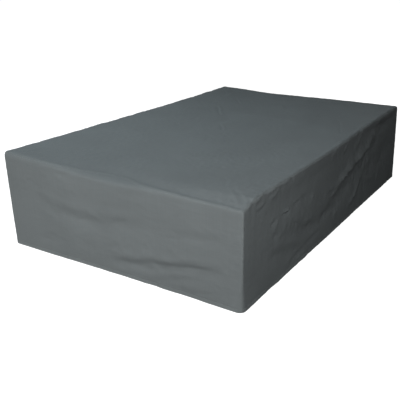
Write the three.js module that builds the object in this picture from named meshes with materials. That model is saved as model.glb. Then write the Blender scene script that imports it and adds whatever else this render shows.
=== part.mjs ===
import * as THREE from "three";

// A fitted box cover of woven cloth, as it hangs over a low lounge set. It is hollow and open below.
// The front is the short wall at -Y, and the hem stands at z = 0. All sizes are in millimetres.

const WIDTH = 1960; // short side, along X
const LENGTH = 3150; // long side, along Y
const CLOTH = 2; // thickness of the cloth
const SEAM_GAP = 0.3; // between the edges of the top panel and the skirt
const TOP_SAG = 14; // how far the middle of the top hangs below its rim
const TIGHTEST_TURN = 9; // least plan radius where the cloth turns a corner on top
const FOLD_FADE = 130; // stretch beside each corner in which the folds of a wall die out
const RIM_FADE = 55; // stretch below the rim in which they die out
const CRISP_FROM = 0.4; // share of the height above which a corner keeps its rim radius

// Into how many steps the cloth is divided: across and along the top, round a corner, over the rim above
// and below the seam, and down a wall. The corner's number is even.
const STEPS = { across: 24, along: 36, corner: 4, aboveSeam: 2, belowSeam: 2, wall: 17 };

// The corners, counter-clockwise from the front left. Heights and roll are those of the cloth at the rim:
// back is how far the cloth rolls over onto the top, drop how far it rolls down into the wall, and seam
// where the seam lies on that roll, from 0 at the wall to 1 on the top. The out columns say how far the
// corner stands out from the plain rectangle, first along X and then along Y.
const CORNERS = [
  {
    side: [-1, -1], height: 727, back: 38, drop: 34, seam: 0.5,
    rimOut: [22, 11], hemOut: [6, -4], rimRadius: 32, hemRadius: 36,
  },
  {
    side: [1, -1], height: 674, back: 22, drop: 18, seam: 0.55,
    rimOut: [-5, 8], hemOut: [-1, -4], rimRadius: 13, hemRadius: 44,
  },
  {
    side: [1, 1], height: 711, back: 30, drop: 24, seam: 0.5,
    rimOut: [-12, 0], hemOut: [15, 2], rimRadius: 26, hemRadius: 34,
  },
  {
    side: [-1, 1], height: 717, back: 34, drop: 28, seam: 0.5,
    rimOut: [8, 6], hemOut: [2, 0], rimRadius: 32, hemRadius: 36,
  },
];

// The walls, counter-clockwise from the front, each read from its left end as seen from outside.
// Rim rows lie between the corners, at a place along the wall. A fold runs from start through mid to end,
// each a place along the wall and a height. Depth is how far it is pressed in, or stands out where it is
// negative, width is half its breadth, and lip is how much of the depth rolls out again above it.
const WALLS = [
  {
    out: [0, -1], length: WIDTH, steps: STEPS.across,
    rim: [
      { at: 300, height: 713, back: 40, drop: 36, seam: 0.55 },
      { at: 600, height: 697, back: 62, drop: 34, seam: 0.7 },
      { at: 830, height: 685, back: 100, drop: 32, seam: 0.86 },
      { at: 1020, height: 685, back: 112, drop: 30, seam: 0.88 },
      { at: 1200, height: 684, back: 66, drop: 26, seam: 0.7 },
      { at: 1380, height: 685, back: 32, drop: 24, seam: 0.6 },
      { at: 1650, height: 679, back: 25, drop: 20, seam: 0.55 },
    ],
    folds: [
      { start: [290, 440], mid: [700, 350], end: [1320, 425], depth: 10.5, width: 46, lip: 0.6 },
      { start: [820, 66], mid: [1320, 150], end: [1840, 240], depth: 13, width: 38, lip: 0.7 },
      { start: [1300, 44], mid: [1510, 102], end: [1720, 160], depth: 6, width: 30, lip: 0.4 },
      { start: [1440, 414], mid: [1650, 424], end: [1870, 434], depth: 4.5, width: 36, lip: 0.3 },
      { start: [430, 230], mid: [1190, 270], end: [1860, 370], depth: -7, width: 75, lip: 0 },
      { start: [260, 110], mid: [380, 132], end: [540, 140], depth: 4, width: 30, lip: 0.3 },
      { start: [300, 600], mid: [900, 560], end: [1700, 590], depth: -4.5, width: 70, lip: 0 },
      { start: [400, 0], mid: [1120, 0], end: [1840, 0], depth: 9, width: 60, lip: 0 },
    ],
  },
  {
    out: [1, 0], length: LENGTH, steps: STEPS.along,
    rim: [
      { at: 130, height: 706, back: 22, drop: 16, seam: 0.5 },
      { at: 500, height: 702, back: 22, drop: 16, seam: 0.5 },
      { at: 1000, height: 699, back: 23, drop: 17, seam: 0.5 },
      { at: 1450, height: 696, back: 25, drop: 20, seam: 0.5 },
      { at: 2050, height: 709, back: 30, drop: 24, seam: 0.5 },
      { at: 2700, height: 711, back: 30, drop: 24, seam: 0.5 },
    ],
    folds: [
      { start: [1240, 190], mid: [1960, 360], end: [2640, 540], depth: 20, width: 80, lip: 0.4 },
      { start: [1470, 345], mid: [1680, 428], end: [1900, 446], depth: -13, width: 34, lip: 0 },
      { start: [1740, 452], mid: [2140, 516], end: [2530, 668], depth: -15, width: 38, lip: 0 },
      { start: [2250, 640], mid: [2680, 628], end: [3090, 632], depth: 24, width: 52, lip: 0 },
      { start: [1950, 150], mid: [2480, 300], end: [3010, 330], depth: 16, width: 150, lip: 0 },
      { start: [120, 570], mid: [1100, 585], end: [2100, 600], depth: 4, width: 50, lip: 0.3 },
      { start: [330, 250], mid: [620, 160], end: [940, 80], depth: 7, width: 44, lip: 0.5 },
      { start: [780, 290], mid: [1080, 200], end: [1440, 250], depth: 8, width: 48, lip: 0.4 },
      { start: [200, 420], mid: [800, 370], end: [1400, 330], depth: -8, width: 75, lip: 0 },
      { start: [1780, 110], mid: [2010, 205], end: [2190, 330], depth: -10, width: 32, lip: 0 },
    ],
  },
  {
    out: [0, 1], length: WIDTH, steps: STEPS.across,
    rim: [
      { at: 650, height: 708, back: 32, drop: 26, seam: 0.5 },
      { at: 1250, height: 700, back: 34, drop: 28, seam: 0.5 },
      { at: 1480, height: 701, back: 34, drop: 28, seam: 0.5 },
      { at: 1700, height: 711, back: 34, drop: 28, seam: 0.5 },
    ],
    folds: [
      { start: [150, 420], mid: [800, 330], end: [1500, 395], depth: 14, width: 46, lip: 0.6 },
      { start: [600, 560], mid: [1150, 530], end: [1760, 590], depth: 9, width: 42, lip: 0.4 },
      { start: [250, 60], mid: [640, 150], end: [1020, 200], depth: 12, width: 40, lip: 0.7 },
      { start: [1000, 120], mid: [1380, 190], end: [1820, 330], depth: 10, width: 42, lip: 0.5 },
    ],
  },
  {
    out: [-1, 0], length: LENGTH, steps: STEPS.along,
    rim: [
      { at: 900, height: 709, back: 34, drop: 28, seam: 0.5 },
      { at: 1700, height: 712, back: 36, drop: 30, seam: 0.5 },
      { at: 2500, height: 720, back: 38, drop: 34, seam: 0.5 },
    ],
    folds: [
      { start: [160, 300], mid: [950, 220], end: [1700, 290], depth: 13, width: 50, lip: 0.6 },
      { start: [900, 520], mid: [1650, 470], end: [2500, 545], depth: 12, width: 48, lip: 0.6 },
      { start: [1500, 70], mid: [2150, 160], end: [2800, 330], depth: 15, width: 46, lip: 0.8 },
      { start: [2300, 60], mid: [2600, 115], end: [2950, 200], depth: 8, width: 36, lip: 0.4 },
      { start: [300, 575], mid: [700, 520], end: [1150, 500], depth: -8, width: 60, lip: 0 },
    ],
  },
];

// Soft hollows and swells of the top, read as the wall folds are, with places given as x and y.
const TOP_FOLDS = [
  { start: [-700, -900], mid: [-100, -1010], end: [760, -880], depth: 3, width: 90, lip: 0.4 },
  { start: [430, -1500], mid: [700, -1280], end: [820, -860], depth: 3, width: 60, lip: 0.5 },
  { start: [-420, 700], mid: [-230, 250], end: [-330, -300], depth: 4, width: 70, lip: 0.5 },
  { start: [-760, 420], mid: [0, 560], end: [800, 380], depth: -4, width: 130, lip: 0 },
  { start: [300, 1250], mid: [520, 700], end: [480, 100], depth: 3, width: 80, lip: 0.4 },
  { start: [-840, -1300], mid: [-500, -1180], end: [60, -1330], depth: -3, width: 90, lip: 0 },
];

const CLOTH_FINISH = { color: "#5f6465", roughness: 0.9, metalness: 0 };

const acrossSteps = STEPS.across + STEPS.corner;
const alongSteps = STEPS.along + STEPS.corner;
const columnCount = 2 * (acrossSteps + alongSteps);
const seamLevel = STEPS.aboveSeam;
const wallLevel = seamLevel + STEPS.belowSeam;
const hemLevel = wallLevel + STEPS.wall;

const mix = (a, b, t) => a + (b - a) * t;
const smooth = (t) => THREE.MathUtils.smoothstep(t, 0, 1);

// Value of a named column at a place, on a smooth curve through the rows.
function follow(rows, column, place) {
  const last = rows.length - 1;
  let i = 0;
  while (i < last - 1 && place > rows[i + 1].at) {
    i += 1;
  }
  const slope = (j) => {
    const before = rows[Math.max(j - 1, 0)];
    const after = rows[Math.min(j + 1, last)];
    return (after[column] - before[column]) / (after.at - before.at);
  };
  const span = rows[i + 1].at - rows[i].at;
  const t = (place - rows[i].at) / span;
  const level = mix(rows[i][column], rows[i + 1][column], smooth(t));
  const rise = slope(i) * t * (1 - t) ** 2 - slope(i + 1) * t ** 2 * (1 - t);
  return level + rise * span;
}

// The line of a fold as short pieces, each with its share of the way along.
function foldLine(fold) {
  const bend = fold.mid.map((middle, k) => 2 * middle - (fold.start[k] + fold.end[k]) / 2);
  const curve = new THREE.QuadraticBezierCurve(
    new THREE.Vector2(...fold.start),
    new THREE.Vector2(...bend),
    new THREE.Vector2(...fold.end),
  );
  return { ...fold, points: curve.getPoints(14) };
}

// Nearest place on a fold's line: its share of the way along, and the distance, positive on the left.
function nearest(points, u, v) {
  let best = { distance: Infinity, share: 0, side: 1 };
  for (let i = 0; i < points.length - 1; i += 1) {
    const [a, b] = [points[i], points[i + 1]];
    const run = { u: b.x - a.x, v: b.y - a.y };
    const reach = (u - a.x) * run.u + (v - a.y) * run.v;
    const t = THREE.MathUtils.clamp(reach / (run.u ** 2 + run.v ** 2), 0, 1);
    const distance = Math.hypot(u - a.x - t * run.u, v - a.y - t * run.v);
    if (distance < best.distance) {
      const side = Math.sign(run.u * (v - a.y) - run.v * (u - a.x)) || 1;
      best = { distance, share: (i + t) / (points.length - 1), side };
    }
  }
  return { share: best.share, across: best.distance * best.side };
}

// How far the folds together press the cloth in at a place.
function pressedIn(folds, u, v) {
  let total = 0;
  for (const fold of folds) {
    const { share, across } = nearest(fold.points, u, v);
    const trough = Math.exp(-((across / fold.width) ** 2));
    const lip = fold.lip * Math.exp(-((across / fold.width - 1.5) ** 2));
    total += fold.depth * (trough - lip) * Math.sin(Math.PI * share) ** 0.7;
  }
  return total;
}

// A wall with its rim rows closed by those of its two corners, and its folds as lines.
function prepareWall(wall, index) {
  const first = CORNERS[index];
  const second = CORNERS[(index + 1) % CORNERS.length];
  const rim = [{ at: 0, ...first }, ...wall.rim, { at: wall.length, ...second }];
  return { ...wall, first, second, rim, folds: wall.folds.map(foldLine) };
}

const walls = WALLS.map(prepareWall);
const topFolds = TOP_FOLDS.map(foldLine);

// Every column of the cloth, counter-clockwise from the middle of the front left corner: its wall, its
// share of the way between the corners, and its turn from the wall's outward direction in a corner.
function makeColumns() {
  const columns = [];
  const half = STEPS.corner / 2;
  for (const wall of walls) {
    for (let i = 0; i < wall.steps + STEPS.corner; i += 1) {
      const before = Math.max(half - i, 0) / half;
      const after = Math.max(i - half - wall.steps, 0) / half;
      const share = THREE.MathUtils.clamp((i - half) / wall.steps, 0, 1);
      columns.push({ wall, share, turn: (after - before) * (Math.PI / 4) });
    }
  }
  return columns;
}

const columns = makeColumns();

// How much of the wall is above a level, from 0 at the rim to 1 at the hem.
const fallAt = (level) => Math.max(level - wallLevel, 0) / STEPS.wall;

// How far a level has come round the rim's roll, inward and downward.
function rollPlace(level, seam) {
  const seamAngle = (seam * Math.PI) / 2;
  let angle = 0;
  if (level <= seamLevel) {
    angle = mix(Math.PI / 2, seamAngle, level / seamLevel);
  } else if (level < wallLevel) {
    angle = mix(seamAngle, 0, (level - seamLevel) / STEPS.belowSeam);
  }
  return { inset: 1 - Math.cos(angle), drop: 1 - Math.sin(angle) };
}

// A corner's plan point and plan radius at a share of the height.
function cornerAt(corner, share) {
  const x = WIDTH / 2 + mix(corner.hemOut[0], corner.rimOut[0], share);
  const y = LENGTH / 2 + mix(corner.hemOut[1], corner.rimOut[1], share);
  const radius = mix(corner.hemRadius, corner.rimRadius, smooth(share / CRISP_FROM));
  return { x: corner.side[0] * x, y: corner.side[1] * y, radius };
}

// A point of the cloth's outer face on a column, at a level of the rim or the wall.
function clothPoint(column, level) {
  const { wall, share, turn } = column;
  const ends = [wall.first, wall.second].map((corner) => {
    const { x, y, radius } = cornerAt(corner, 1 - fallAt(level));
    const inset = corner.back * rollPlace(level, corner.seam).inset;
    const turnRadius = Math.max(radius - inset, TIGHTEST_TURN);
    return { x, y, inset, turnRadius, start: inset + turnRadius };
  });
  const [first, second] = ends;
  const length = Math.hypot(second.x - first.x, second.y - first.y);
  const run = [(second.x - first.x) / length, (second.y - first.y) / length];
  let along = mix(first.start, length - second.start, share);
  const end = turn < 0 ? first : second;
  const rimAt = (name) => follow(wall.rim, name, share * wall.length);
  const roll = rollPlace(level, rimAt("seam"));
  const height = rimAt("height") - roll.drop * rimAt("drop");
  const z = height * (1 - fallAt(level));
  let out = -roll.inset * rimAt("back");
  if (level > wallLevel) {
    const fromCorner = Math.min(along, length - along);
    const fade = smooth(fromCorner / FOLD_FADE) * smooth((height - z) / RIM_FADE);
    out -= fade * pressedIn(wall.folds, along, z);
  }
  if (turn !== 0) {
    along += end.turnRadius * Math.sin(turn);
    out = -end.inset - end.turnRadius * (1 - Math.cos(turn));
  }
  const x = first.x + run[0] * along + wall.out[0] * out;
  const y = first.y + run[1] * along + wall.out[1] * out;
  return new THREE.Vector3(x, y, z);
}

// The column at the edge of the top's grid, for a grid point on its boundary.
function edgeColumn(i, j) {
  if (j === 0) {
    return i;
  }
  if (i === acrossSteps) {
    return acrossSteps + j;
  }
  if (j === alongSteps) {
    return acrossSteps + alongSteps + (acrossSteps - i);
  }
  return i === 0 ? (columnCount - j) % columnCount : -1;
}

// A point inside the top, carried by the four edges of its grid, with its sag and soft folds.
function topPoint(i, j, edge) {
  const [u, v] = [i / acrossSteps, j / alongSteps];
  const point = new THREE.Vector3();
  point.addScaledVector(edge(i, 0), 1 - v).addScaledVector(edge(i, alongSteps), v);
  point.addScaledVector(edge(0, j), 1 - u).addScaledVector(edge(acrossSteps, j), u);
  point.addScaledVector(edge(0, 0), -(1 - u) * (1 - v));
  point.addScaledVector(edge(acrossSteps, 0), -u * (1 - v));
  point.addScaledVector(edge(0, alongSteps), -(1 - u) * v);
  point.addScaledVector(edge(acrossSteps, alongSteps), -u * v);
  const middle = 16 * u * (1 - u) * v * (1 - v);
  const fade = smooth(8 * u * (1 - u)) * smooth(8 * v * (1 - v));
  point.z -= TOP_SAG * middle + fade * pressedIn(topFolds, point.x, point.y);
  return point;
}

// The outer face of the whole cover: its points, and the four-sided faces of each piece of cloth.
function makeSurface() {
  const points = [];
  const ringIndex = (column, level) => level * columnCount + (column % columnCount);
  for (let level = 0; level <= hemLevel; level += 1) {
    columns.forEach((column) => points.push(clothPoint(column, level)));
  }
  const edge = (i, j) => points[edgeColumn(i, j)];
  const inner = new Map();
  const gridIndex = (i, j) => {
    const column = edgeColumn(i, j);
    return column >= 0 ? column : inner.get(j * (acrossSteps + 1) + i);
  };
  for (let j = 1; j < alongSteps; j += 1) {
    for (let i = 1; i < acrossSteps; i += 1) {
      inner.set(j * (acrossSteps + 1) + i, points.length);
      points.push(topPoint(i, j, edge));
    }
  }
  const top = [];
  const skirt = [];
  for (let j = 0; j < alongSteps; j += 1) {
    for (let i = 0; i < acrossSteps; i += 1) {
      top.push([gridIndex(i, j), gridIndex(i + 1, j), gridIndex(i + 1, j + 1), gridIndex(i, j + 1)]);
    }
  }
  for (let level = 0; level < hemLevel; level += 1) {
    const faces = level < seamLevel ? top : skirt;
    for (let c = 0; c < columnCount; c += 1) {
      const next = level + 1;
      faces.push([
        ringIndex(c, level), ringIndex(c, next), ringIndex(c + 1, next), ringIndex(c + 1, level),
      ]);
    }
  }
  return { points, top, skirt };
}

// A four-sided face as two triangles, parted along its shorter diagonal.
function splitFace([a, b, c, d], points) {
  if (points[a].distanceTo(points[c]) <= points[b].distanceTo(points[d])) {
    return [[a, b, c], [a, c, d]];
  }
  return [[a, b, d], [b, c, d]];
}

// The direction in which the cloth's outer face looks at each point. The hem's is level.
function outwardDirections(points, triangles) {
  const geometry = new THREE.BufferGeometry().setFromPoints(points);
  geometry.setIndex(triangles.flat());
  geometry.computeVertexNormals();
  const normals = geometry.getAttribute("normal");
  return points.map((point, k) => {
    const direction = new THREE.Vector3().fromBufferAttribute(normals, k);
    if (point.z === 0) {
      direction.setZ(0).normalize();
    }
    return direction;
  });
}

// Half of the seam's gap, taken from a seam point towards the piece that it belongs to.
function seamEdge(points, index, toLevel) {
  const isSeam = Math.floor(index / columnCount) === seamLevel;
  if (!isSeam) {
    return points[index];
  }
  const inward = points[index + (toLevel - seamLevel) * columnCount].clone().sub(points[index]);
  return points[index].clone().addScaledVector(inward.normalize(), SEAM_GAP / 2);
}

// A closed solid of cloth: its outer triangles, the same ones a cloth's thickness further in, and a
// narrow strip along every free edge.
function clothSolid(triangles, placeOf, directions) {
  const local = new Map();
  const positions = [];
  const use = (index) => {
    if (!local.has(index)) {
      const outer = placeOf(index);
      const inner = outer.clone().addScaledVector(directions[index], -CLOTH);
      local.set(index, positions.length / 3);
      positions.push(...outer.toArray(), ...inner.toArray());
    }
    return local.get(index);
  };
  const faces = [];
  const edges = new Map();
  for (const triangle of triangles) {
    const [a, b, c] = triangle.map(use);
    faces.push(a, b, c, a + 1, c + 1, b + 1);
    [[a, b], [b, c], [c, a]].forEach((pair) => edges.set(pair.join(), pair));
  }
  for (const [a, b] of edges.values()) {
    if (!edges.has([b, a].join())) {
      faces.push(b, a, a + 1, b, a + 1, b + 1);
    }
  }
  const geometry = new THREE.BufferGeometry();
  geometry.setAttribute("position", new THREE.Float32BufferAttribute(positions, 3));
  geometry.setIndex(faces);
  geometry.computeVertexNormals();
  return geometry;
}

function makeCover() {
  const { points, top, skirt } = makeSurface();
  const topTriangles = top.flatMap((face) => splitFace(face, points));
  const skirtTriangles = skirt.flatMap((face) => splitFace(face, points));
  const directions = outwardDirections(points, [...topTriangles, ...skirtTriangles]);
  const piece = (name, triangles, toLevel) => {
    const placeOf = (index) => seamEdge(points, index, toLevel);
    const mesh = new THREE.Mesh(
      clothSolid(triangles, placeOf, directions),
      new THREE.MeshStandardMaterial(CLOTH_FINISH),
    );
    mesh.name = name;
    return mesh;
  };
  const cover = new THREE.Group();
  cover.add(piece("top_panel", topTriangles, seamLevel - 1));
  cover.add(piece("skirt", skirtTriangles, seamLevel + 1));
  return cover;
}

export default makeCover();
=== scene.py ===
"""The looks of a fitted patio lounge set cover: coated woven cloth, hanging in soft folds.

The cloth's main shape repeats the solids of the frame, from the same rows. Seam, hem, puckers, creases,
stitches and the weave are added to it here. Rows and places are in millimetres, and meshes in metres.
"""

import math
from typing import NamedTuple

import bpy
import numpy as np
from bpy.props import FloatProperty, FloatVectorProperty, PointerProperty
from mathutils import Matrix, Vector, noise


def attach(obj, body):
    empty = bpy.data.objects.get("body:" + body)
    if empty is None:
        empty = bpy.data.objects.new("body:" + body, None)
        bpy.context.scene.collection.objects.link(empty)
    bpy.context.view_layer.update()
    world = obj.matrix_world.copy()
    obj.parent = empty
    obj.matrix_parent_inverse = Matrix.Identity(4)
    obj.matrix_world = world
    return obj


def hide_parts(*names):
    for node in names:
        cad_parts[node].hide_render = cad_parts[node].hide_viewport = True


bl_info = {
    "name": "Patio Lounge Set Cover",
    "version": (1, 0, 0),
    "blender": (4, 5, 0),
    "location": "3D View > Sidebar > Cover",
    "description": "Makes a fitted cover of woven cloth, with its seam, hem, stitches and stage",
    "category": "Object",
}

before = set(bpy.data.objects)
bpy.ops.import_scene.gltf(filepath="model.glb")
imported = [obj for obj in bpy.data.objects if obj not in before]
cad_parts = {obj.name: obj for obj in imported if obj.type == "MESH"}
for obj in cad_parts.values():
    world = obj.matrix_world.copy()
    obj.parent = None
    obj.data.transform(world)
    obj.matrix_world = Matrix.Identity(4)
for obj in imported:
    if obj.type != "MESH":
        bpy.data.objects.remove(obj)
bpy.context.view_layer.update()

MM = 0.001

WIDTH = 1960  # short side, along X
LENGTH = 3150  # long side, along Y
TOP_SAG = 14  # how far the middle of the top hangs below its rim
TIGHTEST_TURN = 9  # least plan radius where the cloth turns a corner on top
FOLD_FADE = 130  # stretch beside each corner in which the folds of a wall die out
RIM_FADE = 55  # stretch below the rim in which they die out
CRISP_FROM = 0.4  # share of the height above which a corner keeps its rim radius
WANDER = 20  # roughly how far folds stray from their lines at most

# Into how many steps the cloth is divided along the short and long sides and round a corner, and how many
# places are worked out on each column's way round the roll and down the wall. The first three are even.
ACROSS_STEPS = 200
ALONG_STEPS = 300
CORNER_STEPS = 10
ROLL_PLACES = 24
WALL_PLACES = 80


class Corner(NamedTuple):
    """A corner: where it stands, the cloth's height and roll at the rim, and how far it stands out."""

    side: tuple
    height: float
    back: float
    drop: float
    seam: float
    rim_out: tuple
    hem_out: tuple
    rim_radius: float
    hem_radius: float


class Rim(NamedTuple):
    """The rim at a place along a wall: its height, how far it rolls back and down, and its seam's share."""

    at: float
    height: float
    back: float
    drop: float
    seam: float


class Fold(NamedTuple):
    """A soft trough from start through mid to end. It stands out where its depth is negative."""

    start: tuple
    mid: tuple
    end: tuple
    depth: float
    width: float
    lip: float


class Wall(NamedTuple):
    """A wall, read from its left end as seen from outside."""

    out: tuple
    length: float
    steps: int
    gathers: float
    rim: list
    folds: list
    creases: list


# Counter-clockwise from the front left.
CORNERS = [
    Corner((-1, -1), 727, 38, 34, 0.5, (22, 11), (6, -4), 32, 36),
    Corner((1, -1), 674, 22, 18, 0.55, (-5, 8), (-1, -4), 13, 44),
    Corner((1, 1), 711, 30, 24, 0.5, (-12, 0), (15, 2), 26, 34),
    Corner((-1, 1), 717, 34, 28, 0.5, (8, 6), (2, 0), 32, 36),
]

# All along a wall is measured from its left end. Folds and creases say how far along and how high.
FRONT_RIM = [
    Rim(300, 713, 40, 36, 0.55),
    Rim(600, 697, 62, 34, 0.7),
    Rim(830, 685, 100, 32, 0.86),
    Rim(1020, 685, 112, 30, 0.88),
    Rim(1200, 684, 66, 26, 0.7),
    Rim(1380, 685, 32, 24, 0.6),
    Rim(1650, 679, 25, 20, 0.55),
]

FRONT_FOLDS = [
    Fold((290, 440), (700, 350), (1320, 425), 10.5, 46, 0.6),
    Fold((820, 66), (1320, 150), (1840, 240), 13, 38, 0.7),
    Fold((1300, 44), (1510, 102), (1720, 160), 6, 30, 0.4),
    Fold((1440, 414), (1650, 424), (1870, 434), 4.5, 36, 0.3),
    Fold((430, 230), (1190, 270), (1860, 370), -7, 75, 0),
    Fold((260, 110), (380, 132), (540, 140), 4, 30, 0.3),
    Fold((300, 600), (900, 560), (1700, 590), -4.5, 70, 0),
    Fold((400, 0), (1120, 0), (1840, 0), 9, 60, 0),
]

FRONT_CREASES = [
    Fold((440, 676), (540, 656), (680, 668), 4, 16, 0.5),
    Fold((600, 352), (660, 344), (740, 350), 3, 17, 0.4),
    Fold((760, 404), (820, 402), (880, 388), -3, 9, 0),
    Fold((930, 372), (1030, 396), (1110, 420), 3, 16, 0.5),
    Fold((350, 336), (400, 322), (470, 328), -2.5, 12, 0),
    Fold((500, 318), (545, 322), (600, 316), -2, 10, 0),
    Fold((205, 246), (240, 256), (290, 252), 2, 9, 0.8),
    Fold((455, 186), (490, 194), (530, 190), 2, 9, 0.8),
    Fold((310, 118), (350, 126), (410, 120), 2.5, 9, 0.8),
    Fold((330, 172), (380, 166), (440, 174), 2.5, 14, 0.5),
    Fold((185, 552), (215, 552), (255, 558), 2.5, 9, 0.9),
    Fold((880, 166), (950, 160), (1040, 168), 2.5, 11, 0.8),
    Fold((1180, 548), (1215, 556), (1260, 550), 2, 10, 0.8),
    Fold((1250, 470), (1280, 478), (1320, 472), 2, 10, 0.8),
    Fold((1410, 388), (1450, 396), (1490, 390), 2, 10, 0.8),
    Fold((1210, 350), (1235, 358), (1270, 350), 2, 10, 0.8),
    Fold((1640, 50), (1690, 66), (1750, 80), 2.5, 9, 0.7),
    Fold((1180, 130), (1410, 168), (1640, 206), -3, 12, 0),
    Fold((1540, 196), (1640, 222), (1760, 250), 4, 12, 0.6),
    Fold((1010, 610), (1080, 604), (1150, 612), 2.5, 24, 0.3),
    Fold((600, 545), (640, 530), (660, 500), 2.5, 20, 0.3),
]

RIGHT_RIM = [
    Rim(130, 706, 22, 16, 0.5),
    Rim(500, 702, 22, 16, 0.5),
    Rim(1000, 699, 23, 17, 0.5),
    Rim(1450, 696, 25, 20, 0.5),
    Rim(2050, 709, 30, 24, 0.5),
    Rim(2700, 711, 30, 24, 0.5),
]

RIGHT_FOLDS = [
    Fold((1240, 190), (1960, 360), (2640, 540), 20, 80, 0.4),
    Fold((1470, 345), (1680, 428), (1900, 446), -13, 34, 0),
    Fold((1740, 452), (2140, 516), (2530, 668), -15, 38, 0),
    Fold((2250, 640), (2680, 628), (3090, 632), 24, 52, 0),
    Fold((1950, 150), (2480, 300), (3010, 330), 16, 150, 0),
    Fold((120, 570), (1100, 585), (2100, 600), 4, 50, 0.3),
    Fold((330, 250), (620, 160), (940, 80), 7, 44, 0.5),
    Fold((780, 290), (1080, 200), (1440, 250), 8, 48, 0.4),
    Fold((200, 420), (800, 370), (1400, 330), -8, 75, 0),
    Fold((1780, 110), (2010, 205), (2190, 330), -10, 32, 0),
]

RIGHT_CREASES = [
    Fold((20, 686), (60, 690), (110, 688), -6, 10, 0),
    Fold((125, 692), (170, 690), (235, 694), -7, 10, 0),
    Fold((270, 688), (345, 682), (425, 690), -8, 12, 0),
    Fold((440, 692), (480, 690), (520, 694), -4, 10, 0),
    Fold((500, 692), (560, 684), (625, 682), -6, 11, 0),
    Fold((640, 690), (690, 688), (740, 692), -4, 13, 0),
    Fold((820, 688), (1040, 686), (1290, 684), -4, 13, 0),
    Fold((1490, 682), (1720, 690), (1960, 694), -4, 12, 0),
    Fold((1950, 680), (1990, 684), (2030, 688), 6, 13, 0),
    Fold((2340, 690), (2400, 692), (2460, 694), 6, 14, 0),
    Fold((2040, 696), (2200, 696), (2370, 698), -4, 12, 0),
    Fold((2450, 698), (2740, 698), (3020, 700), -4, 13, 0),
    Fold((140, 622), (210, 618), (290, 634), 8, 12, 0.9),
    Fold((330, 636), (400, 648), (470, 664), -7, 12, 0),
    Fold((500, 474), (570, 470), (635, 480), 11, 12, 0.9),
    Fold((690, 476), (740, 476), (800, 466), 11, 12, 0.9),
    Fold((830, 478), (870, 480), (920, 462), 6, 17, 0.4),
    Fold((340, 458), (390, 464), (450, 480), 7, 14, 0.4),
    Fold((340, 405), (430, 426), (500, 414), -6, 26, 0),
    Fold((90, 536), (120, 530), (150, 520), -4, 9, 0),
    Fold((210, 548), (225, 534), (240, 520), -4, 9, 0),
    Fold((375, 374), (410, 364), (450, 350), 5, 18, 0.4),
    Fold((695, 352), (725, 340), (742, 322), 5, 14, 0.5),
    Fold((1330, 386), (1390, 362), (1440, 358), 7, 20, 0.4),
    Fold((1480, 104), (1520, 140), (1545, 180), -6.5, 24, 0),
    Fold((990, 452), (1030, 440), (1050, 420), -4, 14, 0),
    Fold((850, 276), (930, 250), (1020, 236), 4, 24, 0.4),
    Fold((1200, 222), (1290, 200), (1400, 220), 5.5, 30, 0.4),
    Fold((1120, 350), (1200, 330), (1260, 300), -7, 18, 0),
    Fold((1370, 640), (1440, 664), (1500, 694), -7, 18, 0),
    Fold((1600, 596), (1665, 632), (1725, 668), -6.5, 18, 0),
    Fold((1890, 588), (1985, 628), (2110, 698), -12, 22, 0),
    Fold((1550, 384), (1700, 424), (1860, 444), -7, 12, 0),
    Fold((1840, 456), (2100, 500), (2320, 556), -8.5, 14, 0),
    Fold((2270, 534), (2430, 602), (2560, 690), -10, 22, 0),
    Fold((1400, 330), (1560, 332), (1760, 344), -7, 14, 0),
    Fold((2490, 566), (2590, 572), (2690, 590), 6, 20, 0.3),
    Fold((2560, 652), (2760, 640), (2980, 656), -8.5, 22, 0),
    Fold((1830, 136), (1930, 166), (2020, 216), -6, 16, 0),
    Fold((2220, 216), (2380, 202), (2530, 176), -8.5, 34, 0),
    Fold((2560, 136), (2620, 184), (2665, 236), -8.5, 24, 0),
    Fold((640, 40), (900, 96), (1240, 120), 5.5, 18, 0.5),
]

BACK_RIM = [
    Rim(650, 708, 32, 26, 0.5),
    Rim(1250, 700, 34, 28, 0.5),
    Rim(1480, 701, 34, 28, 0.5),
    Rim(1700, 711, 34, 28, 0.5),
]

BACK_FOLDS = [
    Fold((150, 420), (800, 330), (1500, 395), 14, 46, 0.6),
    Fold((600, 560), (1150, 530), (1760, 590), 9, 42, 0.4),
    Fold((250, 60), (640, 150), (1020, 200), 12, 40, 0.7),
    Fold((1000, 120), (1380, 190), (1820, 330), 10, 42, 0.5),
]

BACK_CREASES = [
    Fold((420, 690), (470, 664), (560, 650), 5, 12, 0.5),
    Fold((1180, 680), (1250, 660), (1330, 664), 5, 12, 0.5),
    Fold((900, 452), (1010, 440), (1130, 452), 4, 11, 0.7),
    Fold((300, 236), (430, 250), (540, 240), 4, 11, 0.7),
    Fold((1400, 90), (1500, 112), (1620, 120), 4, 11, 0.7),
    Fold((620, 600), (760, 626), (900, 610), -4, 16, 0),
    Fold((1380, 300), (1540, 340), (1700, 352), -5, 18, 0),
]

LEFT_RIM = [
    Rim(900, 709, 34, 28, 0.5),
    Rim(1700, 712, 36, 30, 0.5),
    Rim(2500, 720, 38, 34, 0.5),
]

LEFT_FOLDS = [
    Fold((160, 300), (950, 220), (1700, 290), 13, 50, 0.6),
    Fold((900, 520), (1650, 470), (2500, 545), 12, 48, 0.6),
    Fold((1500, 70), (2150, 160), (2800, 330), 15, 46, 0.8),
    Fold((2300, 60), (2600, 115), (2950, 200), 8, 36, 0.4),
    Fold((300, 575), (700, 520), (1150, 500), -8, 60, 0),
]

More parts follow.
